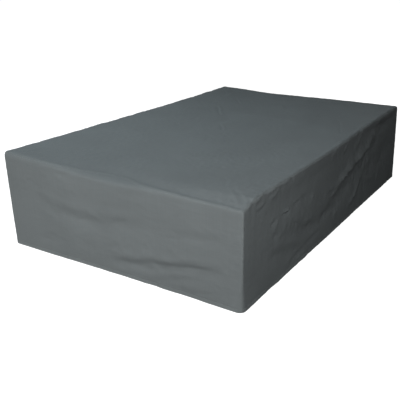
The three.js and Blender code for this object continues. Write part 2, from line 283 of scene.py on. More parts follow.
LEFT_CREASES = [
    Fold((640, 694), (700, 668), (790, 656), 5, 12, 0.5),
    Fold((1420, 700), (1500, 674), (1600, 664), 5, 12, 0.5),
    Fold((2360, 706), (2420, 680), (2500, 670), 5, 13, 0.5),
    Fold((620, 404), (760, 392), (900, 404), 4, 11, 0.7),
    Fold((1960, 356), (2100, 340), (2230, 352), 5, 12, 0.7),
    Fold((1080, 110), (1190, 124), (1320, 116), 4, 11, 0.7),
    Fold((1700, 600), (1900, 622), (2100, 600), -5, 18, 0),
    Fold((2500, 420), (2640, 452), (2800, 470), -5, 16, 0),
    Fold((260, 440), (380, 462), (520, 450), 5, 14, 0.5),
]

# Counter-clockwise from the front.
WALLS = [
    Wall((0, -1), WIDTH, ACROSS_STEPS, 0.8, FRONT_RIM, FRONT_FOLDS, FRONT_CREASES),
    Wall((1, 0), LENGTH, ALONG_STEPS, 3.6, RIGHT_RIM, RIGHT_FOLDS, RIGHT_CREASES),
    Wall((0, 1), WIDTH, ACROSS_STEPS, 1.2, BACK_RIM, BACK_FOLDS, BACK_CREASES),
    Wall((-1, 0), LENGTH, ALONG_STEPS, 1.5, LEFT_RIM, LEFT_FOLDS, LEFT_CREASES),
]

# Soft hollows and swells of the top, with places given as x and y.
TOP_FOLDS = [
    Fold((-700, -900), (-100, -1010), (760, -880), 3, 90, 0.4),
    Fold((430, -1500), (700, -1280), (820, -860), 3, 60, 0.5),
    Fold((-420, 700), (-230, 250), (-330, -300), 4, 70, 0.5),
    Fold((-760, 420), (0, 560), (800, 380), -4, 130, 0),
    Fold((300, 1250), (520, 700), (480, 100), 3, 80, 0.4),
    Fold((-840, -1300), (-500, -1180), (60, -1330), -3, 90, 0),
]

# Fine creases of the top. The first ones run out from its near right corner.
TOP_CREASES = [
    Fold((770, -1340), (870, -1440), (945, -1535), 3.5, 11, 0.9),
    Fold((700, -1180), (820, -1350), (915, -1490), -2, 40, 0),
    Fold((690, -1050), (790, -1150), (880, -1290), -2, 12, 0),
    Fold((640, -1190), (690, -1290), (740, -1380), 2.5, 13, 0.6),
    Fold((560, -1420), (640, -1445), (720, -1440), -2, 14, 0),
    Fold((690, 700), (780, 480), (880, 250), 3, 13, 0.5),
    Fold((-560, 720), (-470, 590), (-350, 400), 4, 15, 0.7),
    Fold((-530, 1080), (-490, 1010), (-430, 920), 3.5, 14, 0.7),
    Fold((-200, 150), (-120, 30), (-50, -70), 3.5, 13, 0.7),
    Fold((-930, -320), (-840, -430), (-750, -520), 3, 14, 0.6),
    Fold((-790, 1300), (-750, 1200), (-700, 1110), 4, 30, 0.8),
    Fold((-530, -50), (-470, -110), (-420, -130), 3.5, 22, 0.5),
    Fold((-500, 240), (-470, 150), (-440, 60), 3, 24, 0.4),
    Fold((-20, 1080), (10, 1000), (60, 930), -3, 16, 0),
    Fold((-900, -1500), (-840, -1420), (-820, -1300), -2.5, 20, 0.4),
    Fold((905, 1500), (850, 1410), (830, 1290), -2.5, 20, 0.4),
    Fold((-890, 1500), (-820, 1430), (-790, 1300), -2.5, 20, 0.4),
]


class Rise(NamedTuple):
    """How far the cloth stands out at a distance from an edge, as a share of its whole rise there."""

    away: float
    rise: float


# Over the allowance that is turned under on both sides of the seam, with the topstitch in its dip.
SEAM_PROFILE = [
    Rise(0, -0.4), Rise(1.2, 0.5), Rise(3, 1), Rise(5, 0.85), Rise(6.5, 0.3), Rise(8.5, 0.45),
    Rise(12, 0.05), Rise(18, 0),
]

# Up from the edge of the hem, which is turned up and stitched through.
HEM_PROFILE = [
    Rise(0, 0.2), Rise(3, 1), Rise(12, 0.8), Rise(21, 0.9), Rise(24, 0.1), Rise(25, -0.7),
    Rise(26.5, 0), Rise(30, 0.3), Rise(38, 0),
]

TOPSTITCH_AWAY = 6.5
HEM_STITCH_UP = 25

# A stitch from where its thread comes up to where it goes down again: its share of the pitch, and how far
# the middle of the thread lies above the cloth, in thread radii.
STITCH_PLACES = [0.06, 0.2, 0.68, 0.82]
STITCH_LIFTS = [-1.6, 0.4, 0.4, -1.6]

MIDDLE_ROWS = 54  # rows of the skirt between the stretches that the two profiles divide
TOP_RING = [1.2, 3, 5, 6.5, 8.5]  # rows of the top panel above its seam, before the flat starts
SEAM_INSIDE = 10  # how far the seam lies inside the walls, in plan
PUCKER_REACH = 260  # how far the gathers beside a seam are followed
RING_SPARE = 4  # least width of the top's roll above its last seam row
EDGE_AWAY = 0.15  # how far the cloth's edge stays from the line of the seam
BEYOND_EDGE = 2  # how far past the seam the cloth is followed, to know which way its edge looks
FAR_AWAY = 1000  # distance from the seam that counts for all of the flat
CREASE_SHARPNESS = 1.3
CORNER_CLEAR = 90  # stretch beside each corner in which gathers and creases die out
CREASE_SEAM_CLEAR = 20  # stretches below the seam and above the hem in which creases die out
CREASE_HEM_CLEAR = 12
SEAM_CLEAR = 14  # stretches beside the seam and above the hem in which the crumpled relief dies out
HEM_CLEAR = 30
HEM_GATHERS = 0.3  # depth of the gathers above the hem, as a share of those below the seam
HEM_SHIFT = 400  # how far they are shifted along, so that they differ
SKIRT_RELIEF = 0.7  # strength of the crumpled relief on the skirt, and at the top's back and front
BACK_RELIEF = 0.55
FRONT_RELIEF = 1.3
RELIEF_GROWS = (600, -1300)  # from where to where along Y it grows on the top
CORNER_RELIEF = 0.7  # how much stronger it is at the near right corner, and how far from it that reaches
CORNER_RELIEF_REACH = 420
INNER_GAP = 2  # how much deeper than the cloth's thickness the inner face lies, away from its edges
TROUGH_GAP = 2  # how much deeper still it lies below a trough, in depths of that trough
TROUGH_STEPS = 3  # how far to each side of a trough this holds, in steps of the cloth
ON_FLOOR = 0.01  # height below which cloth counts as lying on the floor
SHARP_EDGE = 50  # degrees
STITCH_JITTER = 0.04  # how far a stitch strays, as a share of the pitch
THREAD_SIDES = 4

FOLD_REACH = 4  # how far a fold is followed to each side, in its widths
LIP_AWAY = 1.5  # where its lip lies, in its widths
FOLD_ENDS = 0.7  # how its depth dies out to its ends: less is more abrupt
LEAST_FOLD = 0.15  # share of its depth that a fold keeps where it is weakest
FLAT_FADE = 8  # how soon the top's folds begin away from its border
LEAST_GATHER = 0.45  # share of their depth that gathers keep where they are weakest
GATHER_PATCHES = 330  # over what distance they grow and weaken
CELL_SIZE = 38  # size of the cells between the ridges of the crumpled relief
CELL_MEAN = 0.45
WEAVE_SHADE = 0.025  # how much lighter and darker the weave makes the cloth
UNEVEN = 0.06  # how far the face's roughness strays


class Wear(NamedTuple):
    """How pale the cloth is rubbed at an edge, and how far from it that reaches."""

    amount: float
    reach: float


SEAM_WEAR = Wear(0.15, 6)
HEM_WEAR = Wear(0.7, 9)
CORNER_WEAR = Wear(0.4, 1 / 2.2)  # its reach is a share of the way from the corner's middle to its end


class Noise(NamedTuple):
    """Soft noise: the distance over which it changes, its seed and its strength."""

    size: float
    seed: float
    strength: float


FOLD_STRENGTHS = [Noise(150, 11, 0.7), Noise(45, 12, 0.35)]
STRAY_ALONG = [Noise(170, 13, WANDER)]
STRAY_UP = [Noise(170, 14, WANDER), Noise(50, 15, 0.25 * WANDER)]
CELL_BENDS = [Noise(60, 5, 14), Noise(60, 6, 14), Noise(60, 7, 14)]
DIMPLES = [Noise(34, 1, 0.7), Noise(16, 2, 0.35)]
RELIEF_PATCHES = [Noise(380, 4, 1.3)]


class Gathers(NamedTuple):
    """Gathers: their width and depth, how far from the stitches they reach, and their row in the noise."""

    size: float
    depth: float
    reach: float
    row: float
    seed: float


GATHERS = [Gathers(34, 1, 26, 7, 0.5), Gathers(110, 1.4, 45, 9, 3.5)]


def smooth(t):
    """A soft step from 0 to 1."""
    t = np.clip(t, 0, 1)
    return t * t * (3 - 2 * t)


def mix(a, b, t):
    """The value a share of the way from one to the other."""
    return a + (b - a) * t


def follow(places, values, at):
    """Values at places along a smooth curve through the rows."""
    places = np.asarray(places, float)
    values = np.asarray(values, float)
    last = len(places) - 1
    before = np.maximum(np.arange(last + 1) - 1, 0)
    after = np.minimum(np.arange(last + 1) + 1, last)
    slope = (values[after] - values[before]) / (places[after] - places[before])
    i = np.clip(np.searchsorted(places, at, side="left") - 1, 0, last - 1)
    span = places[i + 1] - places[i]
    t = (at - places[i]) / span
    rise = slope[i] * t * (1 - t) ** 2 - slope[i + 1] * t**2 * (1 - t)
    return mix(values[i], values[i + 1], smooth(t)) + rise * span


def fold_line(fold, pieces=14):
    """Points on the curve of a fold, from start through mid to end."""
    start, mid, end = (np.array(p, float) for p in (fold.start, fold.mid, fold.end))
    bend = 2 * mid - (start + end) / 2
    t = np.linspace(0, 1, pieces + 1)[:, None]
    return start * (1 - t) ** 2 + bend * 2 * t * (1 - t) + end * t**2


def grain(points, rows):
    """The sum of some soft noises, which is the same on both sides of every seam."""
    total = np.zeros(len(points))
    for row in rows:
        shift = Vector((row.seed * 17.3, row.seed * 5.1, row.seed * 9.7))
        total += row.strength * np.array([noise.noise(Vector(p) + shift) for p in points / row.size])
    return total


def pressed_in(folds, u, v, sharpness=2.0):
    """How far the folds together press the cloth in at places u, v. A low sharpness makes a crisp line.

    The folds wander off their lines and change in strength on their way, as those of stiff cloth do.
    """
    shape = np.shape(u)
    flat = np.stack([np.ravel(u), np.ravel(v), np.zeros(np.size(u))], -1)
    strength = 1 + np.reshape(grain(flat, FOLD_STRENGTHS), shape)
    u = u + np.reshape(grain(flat, STRAY_ALONG), shape)
    v = v + np.reshape(grain(flat, STRAY_UP), shape)
    total = np.zeros(shape)
    for fold in folds:
        line = fold_line(fold)
        reach = FOLD_REACH * fold.width
        low, high = line.min(0) - reach, line.max(0) + reach
        near = (u > low[0]) & (u < high[0]) & (v > low[1]) & (v < high[1])
        if not near.any():
            continue
        a, b = u[near], v[near]
        distance = np.full(a.shape, np.inf)
        share = np.zeros(a.shape)
        side = np.ones(a.shape)
        for i, (start, end) in enumerate(zip(line, line[1:])):
            run = end - start
            t = np.clip(((a - start[0]) * run[0] + (b - start[1]) * run[1]) / (run @ run), 0, 1)
            away = np.hypot(a - start[0] - t * run[0], b - start[1] - t * run[1])
            closer = away < distance
            left = run[0] * (b - start[1]) - run[1] * (a - start[0]) >= 0
            distance = np.where(closer, away, distance)
            share = np.where(closer, (i + t) / (len(line) - 1), share)
            side = np.where(closer, np.where(left, 1, -1), side)
        across = distance * side / fold.width
        trough = np.exp(-np.abs(across) ** sharpness)
        lip = fold.lip * np.exp(-((across - LIP_AWAY) ** 2))
        total[near] += fold.depth * (trough - lip) * np.sin(np.pi * np.clip(share, 0, 1)) ** FOLD_ENDS
    return total * np.maximum(strength, LEAST_FOLD)


class Columns(NamedTuple):
    """Every column of the cloth, from the middle of the front left corner round to it again."""

    wall: np.ndarray
    share: np.ndarray
    turn: np.ndarray


def make_columns():
    """The wall of each column, its share of the way between corners and its turn in a corner."""
    half = CORNER_STEPS // 2
    rows = []
    for index, wall in enumerate(WALLS):
        for i in range(wall.steps + CORNER_STEPS):
            before = max(half - i, 0) / half
            after = max(i - half - wall.steps, 0) / half
            share = min(max((i - half) / wall.steps, 0), 1)
            rows.append((index, share, (after - before) * math.pi / 4))
    wall, share, turn = np.array(rows).T
    return Columns(wall.astype(int), share, turn)


def rim_values(columns, name):
    """A named column of the rim's rows, at every column of the cloth."""
    values = np.zeros(len(columns.wall))
    for index, wall in enumerate(WALLS):
        mine = columns.wall == index
        ends = (CORNERS[index], CORNERS[(index + 1) % 4])
        places = [0, *(row.at for row in wall.rim), wall.length]
        tabled = [getattr(row, name) for row in (ends[0], *wall.rim, ends[1])]
        values[mine] = follow(places, tabled, columns.share[mine] * wall.length)
    return values


def corner_at(corner, share):
    """A corner's plan point and plan radius at a share of the height."""
    x = WIDTH / 2 + mix(corner.hem_out[0], corner.rim_out[0], share)
    y = LENGTH / 2 + mix(corner.hem_out[1], corner.rim_out[1], share)
    radius = mix(corner.hem_radius, corner.rim_radius, smooth(share / CRISP_FROM))
    return np.stack([corner.side[0] * x, corner.side[1] * y], -1), radius


def hanging_cloth(columns):
    """Places of the cloth's outer face on every column, from the flat of the top round the roll to the hem.

    Returns the places as rows by columns, and the arc length of each from the seam, positive downward.
    """
    angle = np.concatenate([np.linspace(math.pi / 2, 0, ROLL_PLACES + 1), np.zeros(WALL_PLACES)])
    fall = np.concatenate([np.zeros(ROLL_PLACES + 1), np.linspace(0, 1, WALL_PLACES + 1)[1:]])
    inset, drop = 1 - np.cos(angle), 1 - np.sin(angle)
    height = rim_values(columns, "height")[None] - drop[:, None] * rim_values(columns, "drop")[None]
    z = height * (1 - fall[:, None])
    back = rim_values(columns, "back")
    places = np.zeros((len(angle), len(columns.wall), 3))
    for index, wall in enumerate(WALLS):
        mine = columns.wall == index
        ends = []
        for corner in (CORNERS[index], CORNERS[(index + 1) % 4]):
            point, radius = corner_at(corner, 1 - fall)
            pulled = corner.back * inset
            turn_radius = np.maximum(radius - pulled, TIGHTEST_TURN)
            ends.append((point, pulled, turn_radius, pulled + turn_radius))
        first, second = ends
        length = np.hypot(*(second[0] - first[0]).T)
        run = (second[0] - first[0]) / length[:, None]
        share, turn = columns.share[mine][None], columns.turn[mine][None]
        along = mix(first[3][:, None], (length - second[3])[:, None], share)
        out = -inset[:, None] * back[mine][None]
        free = np.minimum(along - first[3][:, None], (length - second[3])[:, None] - along)
        fade = smooth(free / FOLD_FADE) * smooth((height[:, mine] - z[:, mine]) / RIM_FADE)
        out = out - (fall > 0)[:, None] * fade * pressed_in(wall.folds, along, z[:, mine])
        end = [np.where(turn < 0, a[:, None], b[:, None]) for a, b in zip(first[1:3], second[1:3])]
        along = along + end[1] * np.sin(turn)
        out = np.where(turn == 0, out, -end[0] - end[1] * (1 - np.cos(turn)))
        plan = first[0][:, None] + run[:, None] * along[..., None] + np.array(wall.out) * out[..., None]
        places[:, mine, :2] = plan
        places[:, mine, 2] = z[:, mine]
    steps = np.linalg.norm(np.diff(places, axis=0), axis=2)
    arc = np.concatenate([np.zeros((1, steps.shape[1])), np.cumsum(steps, axis=0)])
    seam_angle = rim_values(columns, "seam") * math.pi / 2
    roll = angle[: ROLL_PLACES + 1]
    seam_arc = [np.interp(-a, -roll, arc[: ROLL_PLACES + 1, c]) for c, a in enumerate(seam_angle)]
    return places, arc - np.array(seam_arc)


def at_arcs(places, arc, wanted):
    """Places on every column at the wanted arc lengths from the seam, given as rows by columns."""
    found = np.zeros((*wanted.shape, 3))
    for c in range(arc.shape[1]):
        for axis in range(3):
            found[:, c, axis] = np.interp(wanted[:, c], arc[:, c], places[:, c, axis])
    return found


def facing(points, quads):
    """The direction in which a surface looks at each of its points."""
    corner = points[quads]
    across = np.cross(corner[:, 2] - corner[:, 0], corner[:, 3] - corner[:, 1])
    total = np.zeros_like(points)
    for k in range(4):
        np.add.at(total, quads[:, k], across)
    return total / np.maximum(np.linalg.norm(total, axis=1, keepdims=True), 1e-9)


def quads_of(index):
    """The four-sided faces of a grid of point numbers."""
    return np.stack([index[:-1, :-1], index[1:, :-1], index[1:, 1:], index[:-1, 1:]], -1).reshape(-1, 4)


def closed(index):
    """A grid of point numbers whose last column is followed by its first."""
    return np.concatenate([index, index[:, :1]], axis=1)


def profile(rows, away):
    """How far a profile stands out at distances."""
    return np.interp(away, [row.away for row in rows], [row.rise for row in rows])


def wall_places(points, index):
    """How far points are along a wall from its left end, and how far inside its rim they are, in plan."""
    wall = WALLS[index]
    out = np.array(wall.out)
    run = np.array([-wall.out[1], wall.out[0]])
    half = (LENGTH if wall.out[0] else WIDTH) / 2
    depth = (WIDTH if wall.out[0] else LENGTH) / 2
    return points[:, :2] @ run + half, depth - points[:, :2] @ out


def grain_along(along, size, wall, seed):
    """Soft noise from -1 to 1 along a wall, which changes over about that size."""
    return np.array([noise.noise(Vector((a / size, wall, seed))) for a in along])


def puckers(along, length, away, depth):
    """Small gathers that the stitching pulls in beside a seam. They are uneven, and none is at a corner."""
    pulled = np.zeros(len(along))
    for row in GATHERS:
        waves = grain_along(along, row.size, length / row.row, row.seed)
        pulled += row.depth * waves * np.exp(-away / row.reach)
    patchy = mix(LEAST_GATHER, 1, smooth(0.5 + grain_along(along, GATHER_PATCHES, length, 7.5)))
    free = smooth(np.minimum(along, length - along) / CORNER_CLEAR)
    return depth * patchy * free * pulled


def crinkles(points, depth):
    """Fine crumpled relief of coated cloth: shallow dimples that meet in crisp ridges, in patches."""
    bent = points + np.stack([grain(points, [row]) for row in CELL_BENDS], -1)
    cells = np.array([noise.voronoi(Vector(p))[0][0] for p in bent / CELL_SIZE])
    where = smooth(0.5 + grain(points, RELIEF_PATCHES))
    return depth * (0.5 + where) * (grain(points, DIMPLES) + cells - CELL_MEAN)


class Cloth(NamedTuple):
    """A piece of cloth: its outer points, the directions they face, its faces and its edge rows.

    Then where each point lies on the flat cloth, how rubbed it is and how much deeper its inner face lies.
    """

    points: np.ndarray
    directions: np.ndarray
    fine: np.ndarray
    coarse: np.ndarray
    edges: list
    flat: np.ndarray
    rubbed: np.ndarray
    inset: np.ndarray


def worn(away, wear):
    """How rubbed the cloth is at distances from an edge."""
    return wear.amount * np.exp(-away / wear.reach)


def top_relief(points):
    """How strong the crumpled relief is on the top: stronger to the front and by the near right corner."""
    back, front = RELIEF_GROWS
    strength = BACK_RELIEF + (FRONT_RELIEF - BACK_RELIEF) * smooth((back - points[:, 1]) / (back - front))
    from_corner = np.hypot(points[:, 0] - WIDTH / 2, points[:, 1] + LENGTH / 2)
    return strength + CORNER_RELIEF * np.exp(-((from_corner / CORNER_RELIEF_REACH) ** 2))


def flat_numbers(rim, first):
    """Point numbers over the flat of the top: those of its closed border row, and new ones inside."""
    across, along = ACROSS_STEPS + CORNER_STEPS, ALONG_STEPS + CORNER_STEPS
    grid = np.zeros((along + 1, across + 1), int)
    grid[1:-1, 1:-1] = first + np.arange((along - 1) * (across - 1)).reshape(along - 1, across - 1)
    grid[0] = rim[: across + 1]
    grid[:, -1] = rim[across : across + along + 1]
    grid[-1, ::-1] = rim[across + along : 2 * across + along + 1]
    grid[::-1, 0] = np.append(rim[2 * across + along :], rim[0])
    return grid


def flat_points(border):
    """Points over the flat of the top, spanned between the sides of its border row, with its folds."""
    grid = flat_numbers(np.arange(len(border)), 0)
    low, high, left, right = (border[side] for side in (grid[0], grid[-1], grid[:, 0], grid[:, -1]))
    u = np.linspace(0, 1, len(low))[None, :, None]
    v = np.linspace(0, 1, len(left))[:, None, None]
    field = low[None] * (1 - v) + high[None] * v + left[:, None] * (1 - u) + right[:, None] * u
    field = field - low[0] * (1 - u) * (1 - v) - low[-1] * u * (1 - v)
    field = field - high[0] * (1 - u) * v - high[-1] * u * v
    u, v = u[..., 0], v[..., 0]
    fade = smooth(FLAT_FADE * u * (1 - u)) * smooth(FLAT_FADE * v * (1 - v))
    hollow = fade * pressed_in(TOP_FOLDS, field[..., 0], field[..., 1])
    field[..., 2] -= TOP_SAG * 16 * u * (1 - u) * v * (1 - v) + hollow
    return field


def top_cloth(sizes):
    """The top panel's outer face: the flat, the roll towards the rim, and the seam's edge."""
    columns = make_columns()
    places, arc = hanging_cloth(columns)
    border = -arc[0]
    ring_away = np.array([TOP_RING]).T * np.minimum(border / (TOP_RING[-1] + RING_SPARE), 1)
    wanted = -np.concatenate([np.full((1, len(border)), EDGE_AWAY), ring_away, border[None]])
    beyond = np.full((1, len(border)), float(BEYOND_EDGE))
    ring = at_arcs(places, arc, np.concatenate([beyond, wanted]))
    count = len(columns.wall)
    rows = len(wanted)
    ring_index = np.arange(rows * count).reshape(rows, count)
    grid = flat_numbers(ring_index[-1], rows * count)
    field = flat_points(ring[-1])
    points = np.concatenate([ring[1:].reshape(-1, 3), field[1:-1, 1:-1].reshape(-1, 3)])
    fine = np.concatenate([quads_of(closed(ring_index))[:, ::-1], quads_of(grid)[:, ::-1]])
    beyond_index = np.arange(count)[None] + len(points)
    skin = quads_of(closed(np.concatenate([beyond_index, ring_index[:1]])))[:, ::-1]
    directions = facing(np.concatenate([points, ring[0]]), np.concatenate([fine, skin]))[: len(points)]
    away = np.full(len(points), float(FAR_AWAY))
    away[: rows * count] = -wanted.ravel()
    rise = profile(SEAM_PROFILE, away) * sizes.seam_rise / MM
    for index, wall in enumerate(WALLS):
        s, inside = wall_places(points, index)
        near = inside < PUCKER_REACH
        inside = np.maximum(inside[near] - SEAM_INSIDE, 0)
        rise[near] += puckers(s[near], wall.length, inside, wall.gathers * sizes.pucker_depth / MM)
    edge_fade = smooth(away / SEAM_CLEAR)
    rise -= edge_fade * pressed_in(TOP_CREASES, points[:, 0], points[:, 1], CREASE_SHARPNESS)
    rise += edge_fade * top_relief(points) * crinkles(points, sizes.crinkle_depth / MM)
    coarse = np.concatenate([
        quads_of(closed(ring_index[::2])[:, ::2])[:, ::-1], quads_of(grid[::2, ::2])[:, ::-1],
    ])
    return Cloth(
        points + directions * rise[:, None], directions, fine, coarse, [ring_index[0][::-1]],
        points[:, :2], worn(away, SEAM_WEAR), INNER_GAP * edge_fade,
    )


def skirt_cloth(sizes):
    """The skirt's outer face, from the seam's edge down to the hem."""
    columns = make_columns()
    places, arc = hanging_cloth(columns)
    total = arc[-1]
    from_seam = np.array([max(row.away, EDGE_AWAY) for row in SEAM_PROFILE])[:, None]
    from_hem = np.array([row.away for row in HEM_PROFILE])[::-1, None]
    start, stop = from_seam[-1], total - from_hem[0]
    share = np.linspace(0, 1, MIDDLE_ROWS + 2)[1:-1, None]
    ones = np.ones(len(total))
    wanted = np.concatenate([from_seam * ones, mix(start, stop, share), total - from_hem])
    found = at_arcs(places, arc, np.concatenate([-BEYOND_EDGE * ones[None], wanted]))
    rows, count = wanted.shape
    index = np.arange(rows * count).reshape(rows, count)
    points = found[1:].reshape(-1, 3)
    fine = quads_of(closed(index))
    skin = quads_of(closed(np.concatenate([np.arange(count)[None] + len(points), index[:1]])))
    directions = facing(np.concatenate([points, found[0]]), np.concatenate([fine, skin]))[: len(points)]
    directions[index[-1], 2] = 0
    away = wanted.ravel()
    up = (total - wanted).ravel()
    rise = (profile(SEAM_PROFILE, away) * sizes.seam_rise + profile(HEM_PROFILE, up) * sizes.hem_rise) / MM
    wall_of = np.tile(columns.wall, rows)
    for number, wall in enumerate(WALLS):
        mine = wall_of == number
        s, _ = wall_places(points[mine], number)
        depth = wall.gathers * sizes.pucker_depth / MM
        rise[mine] += puckers(s, wall.length, away[mine], depth)
        shifted, longer = s + HEM_SHIFT, wall.length + 2 * HEM_SHIFT
        rise[mine] += HEM_GATHERS * puckers(shifted, longer, up[mine], depth)
        fade = smooth(np.minimum(s, wall.length - s) / CORNER_CLEAR)
        fade *= smooth(away[mine] / CREASE_SEAM_CLEAR) * smooth(up[mine] / CREASE_HEM_CLEAR)
        rise[mine] -= fade * pressed_in(wall.creases, s, points[mine, 2], CREASE_SHARPNESS)
    fade = smooth(away / SEAM_CLEAR) * smooth(up / HEM_CLEAR)
    rise += SKIRT_RELIEF * fade * crinkles(points, sizes.crinkle_depth / MM)
    rim = found[len(from_seam)]
    along_rim = np.linalg.norm(np.diff(rim, axis=0, append=rim[:1]), axis=1)
    round_it = np.concatenate([[0], np.cumsum(along_rim)])
    flat = np.stack([np.tile(round_it[:-1], rows), -away], -1)
    off_corner = (1 - np.abs(columns.turn) / (math.pi / 4)) / CORNER_WEAR.reach
    in_corner = CORNER_WEAR.amount * np.exp(-(off_corner**2)) * (columns.turn != 0)
    rubbed = np.maximum(np.maximum(worn(away, SEAM_WEAR), worn(up, HEM_WEAR)), np.tile(in_corner, rows))
    points = points + directions * rise[:, None]
    points[index[-1], 2] = 0
    coarse_index = np.concatenate([index[:-1:2], index[-1:]])
    coarse = quads_of(closed(coarse_index)[:, ::2])
    return Cloth(
        points, directions, fine, coarse, [index[0], index[-1][::-1]], flat, rubbed,
        INNER_GAP * smooth(away / SEAM_CLEAR) * smooth(up / SEAM_CLEAR),
    ), round_it[-1]


def trough_depths(cloth):
    """How far each point lies below its neighbours' mean, in millimetres, spread to those around it."""
    a, b = np.concatenate([cloth.fine[:, [k, (k + 1) % 4]] for k in range(4)]).T
    size = len(cloth.points)
    counts = np.maximum(np.bincount(a, minlength=size) + np.bincount(b, minlength=size), 1)
    height = np.zeros(size)
    for axis in range(3):
        values = cloth.points[:, axis]
        total = np.bincount(a, values[b], size) + np.bincount(b, values[a], size)
        height += (total / counts - values) * cloth.directions[:, axis]
    below = np.maximum(height, 0)
    for _ in range(TROUGH_STEPS):
        spread = below.copy()
        np.maximum.at(spread, a, below[b])
        np.maximum.at(spread, b, below[a])
        below = spread
    return below


def add_object(name, data):
    """An object in the scene."""
    made = bpy.data.objects.new(name, data)
    bpy.context.scene.collection.objects.link(made)
    return made


def on_flat_cloth(mesh, flat, lap):
    """Where each corner of each face lies on the flat cloth, in metres.

    A lap is the way round the whole piece, for the faces whose row of points begins again at 0.
    """
    corners = np.zeros(len(mesh.loops), int)
    mesh.loops.foreach_get("vertex_index", corners)
    places = flat[corners] * MM
    if lap:
        starts = np.zeros(len(mesh.polygons), int)
        totals = np.zeros(len(mesh.polygons), int)
        mesh.polygons.foreach_get("loop_start", starts)
        mesh.polygons.foreach_get("loop_total", totals)
        face_of = np.repeat(np.arange(len(starts)), totals)
        furthest = np.maximum.reduceat(places[:, 0], starts)[face_of]
        places[:, 0] += lap * MM * (furthest - places[:, 0] > lap * MM / 2)
    return places


def cloth_object(name, cloth, sizes, finish, lap=0.0):
    """A closed sheet: its outer face, an inner face with half as many steps, and a strip at each edge."""
    inner_ids = np.unique(cloth.coarse)
    place_of = np.full(len(cloth.points), -1)
    place_of[inner_ids] = len(cloth.points) + np.arange(len(inner_ids))
    inset = cloth.inset + TROUGH_GAP * trough_depths(cloth)
    thickness = sizes.cloth_thickness / MM + inset[inner_ids, None]
    inner = cloth.points[inner_ids] - cloth.directions[inner_ids] * thickness
    inner[:, 2] = np.where(cloth.points[inner_ids, 2] < ON_FLOOR, 0, inner[:, 2])
    points = np.concatenate([cloth.points, inner])
    flat = np.concatenate([cloth.flat, cloth.flat[inner_ids]])
    rubbed = np.concatenate([cloth.rubbed, 0 * inner_ids])
    faces = cloth.fine.tolist()
    backs = place_of[cloth.coarse][:, ::-1].tolist()
    strips = []
    for row in cloth.edges:
        ring = np.append(row, row[0])
        if place_of[ring[0]] < 0:
            ring = np.roll(row, -1)
            ring = np.append(ring, ring[0])
        for a, b, c in zip(ring[0:-2:2], ring[1:-1:2], ring[2::2]):
            d, e = place_of[a], place_of[c]
            strips += [[a, d, b], [b, e, c], [b, d, e]]
    mesh = bpy.data.meshes.new(name)
    mesh.from_pydata(points * MM, [], faces + backs + strips)
    kinds = np.zeros(len(mesh.polygons), int)
    kinds[len(faces) : len(faces) + len(backs)] = 1
    mesh.polygons.foreach_set("material_index", kinds)
    mesh.materials.append(once("woven_polyester", woven_cloth, finish))
    mesh.materials.append(once("polyurethane_coating", coated_back, finish))
    mesh.uv_layers.new(name="cloth").data.foreach_set("uv", on_flat_cloth(mesh, flat, lap).ravel())
    mesh.attributes.new("rubbed", "FLOAT", "POINT").data.foreach_set("value", rubbed)
    mesh.shade_smooth()
    mesh.set_sharp_from_angle(angle=math.radians(SHARP_EDGE))
    mesh.validate()
    return add_object(name, mesh)


def stitched_row(piece, row, sizes):
    """Stitches along a closed row of points of a piece of cloth, as points and four-sided faces."""
    count = len(make_columns().wall)
    coordinates = np.zeros(3 * len(piece.data.vertices))
    normals = np.zeros_like(coordinates)
    piece.data.vertices.foreach_get("co", coordinates)
    piece.data.vertices.foreach_get("normal", normals)
    ring = np.append(np.arange(row * count, (row + 1) * count), row * count)
    line = coordinates.reshape(-1, 3)[ring] / MM
    facings = normals.reshape(-1, 3)[ring]
    arc = np.concatenate([[0], np.cumsum(np.linalg.norm(np.diff(line, axis=0), axis=1))])
    amount = int(arc[-1] * MM / sizes.stitch_pitch)
    jitter = np.random.default_rng(row).uniform(-STITCH_JITTER, STITCH_JITTER, (amount, 1))
    at = (np.arange(amount)[:, None] + np.array(STITCH_PLACES) + jitter) * arc[-1] / amount
    middle = np.stack([np.interp(at, arc, line[:, k]) for k in range(3)], -1)
    up = np.stack([np.interp(at, arc, facings[:, k]) for k in range(3)], -1)
    up /= np.linalg.norm(up, axis=-1, keepdims=True)
    forward = middle[:, -1:] - middle[:, :1]
    side = np.cross(forward, up)
    side /= np.linalg.norm(side, axis=-1, keepdims=True)
    radius = sizes.thread_width / MM / 2
    middle += up * radius * np.array(STITCH_LIFTS)[None, :, None]
    around = np.linspace(0, 2 * math.pi, THREAD_SIDES, endpoint=False)[:, None]
    rim = side[:, :, None] * np.cos(around) + up[:, :, None] * np.sin(around)
    points = middle[:, :, None] + radius * rim
    index = np.arange(points.size // 3).reshape(points.shape[:-1])
    next_index = np.roll(index, -1, axis=2)
    faces = np.stack([index[:, :-1], next_index[:, :-1], next_index[:, 1:], index[:, 1:]], -1)
    return points.reshape(-1, 3), faces.reshape(-1, 4)


def stitches_object(name, rows, sizes, material):
    """One object of the stitches of some rows, each given as a piece of cloth and a row of its points."""
    points, faces = [], []
    for piece_name, row in rows:
        piece = bpy.data.objects.get(piece_name)
        if piece is None:
            raise RuntimeError(f"{piece_name} has to be made before its stitches")
        row_points, row_faces = stitched_row(piece, row, sizes)
        faces.append(row_faces + sum(len(one) for one in points))
        points.append(row_points)
    mesh = bpy.data.meshes.new(name)
    mesh.from_pydata(np.concatenate(points) * MM, [], np.concatenate(faces).tolist())
    mesh.materials.append(material)
    mesh.shade_smooth()
    return add_object(name, mesh)


def linear(code):
    """A colour given as an sRGB hex value, as linear red, green, blue and alpha."""
    values = [int(code[i : i + 2], 16) / 255 for i in (1, 3, 5)]
    return (*(v / 12.92 if v <= 0.04045 else ((v + 0.055) / 1.055) ** 2.4 for v in values), 1.0)


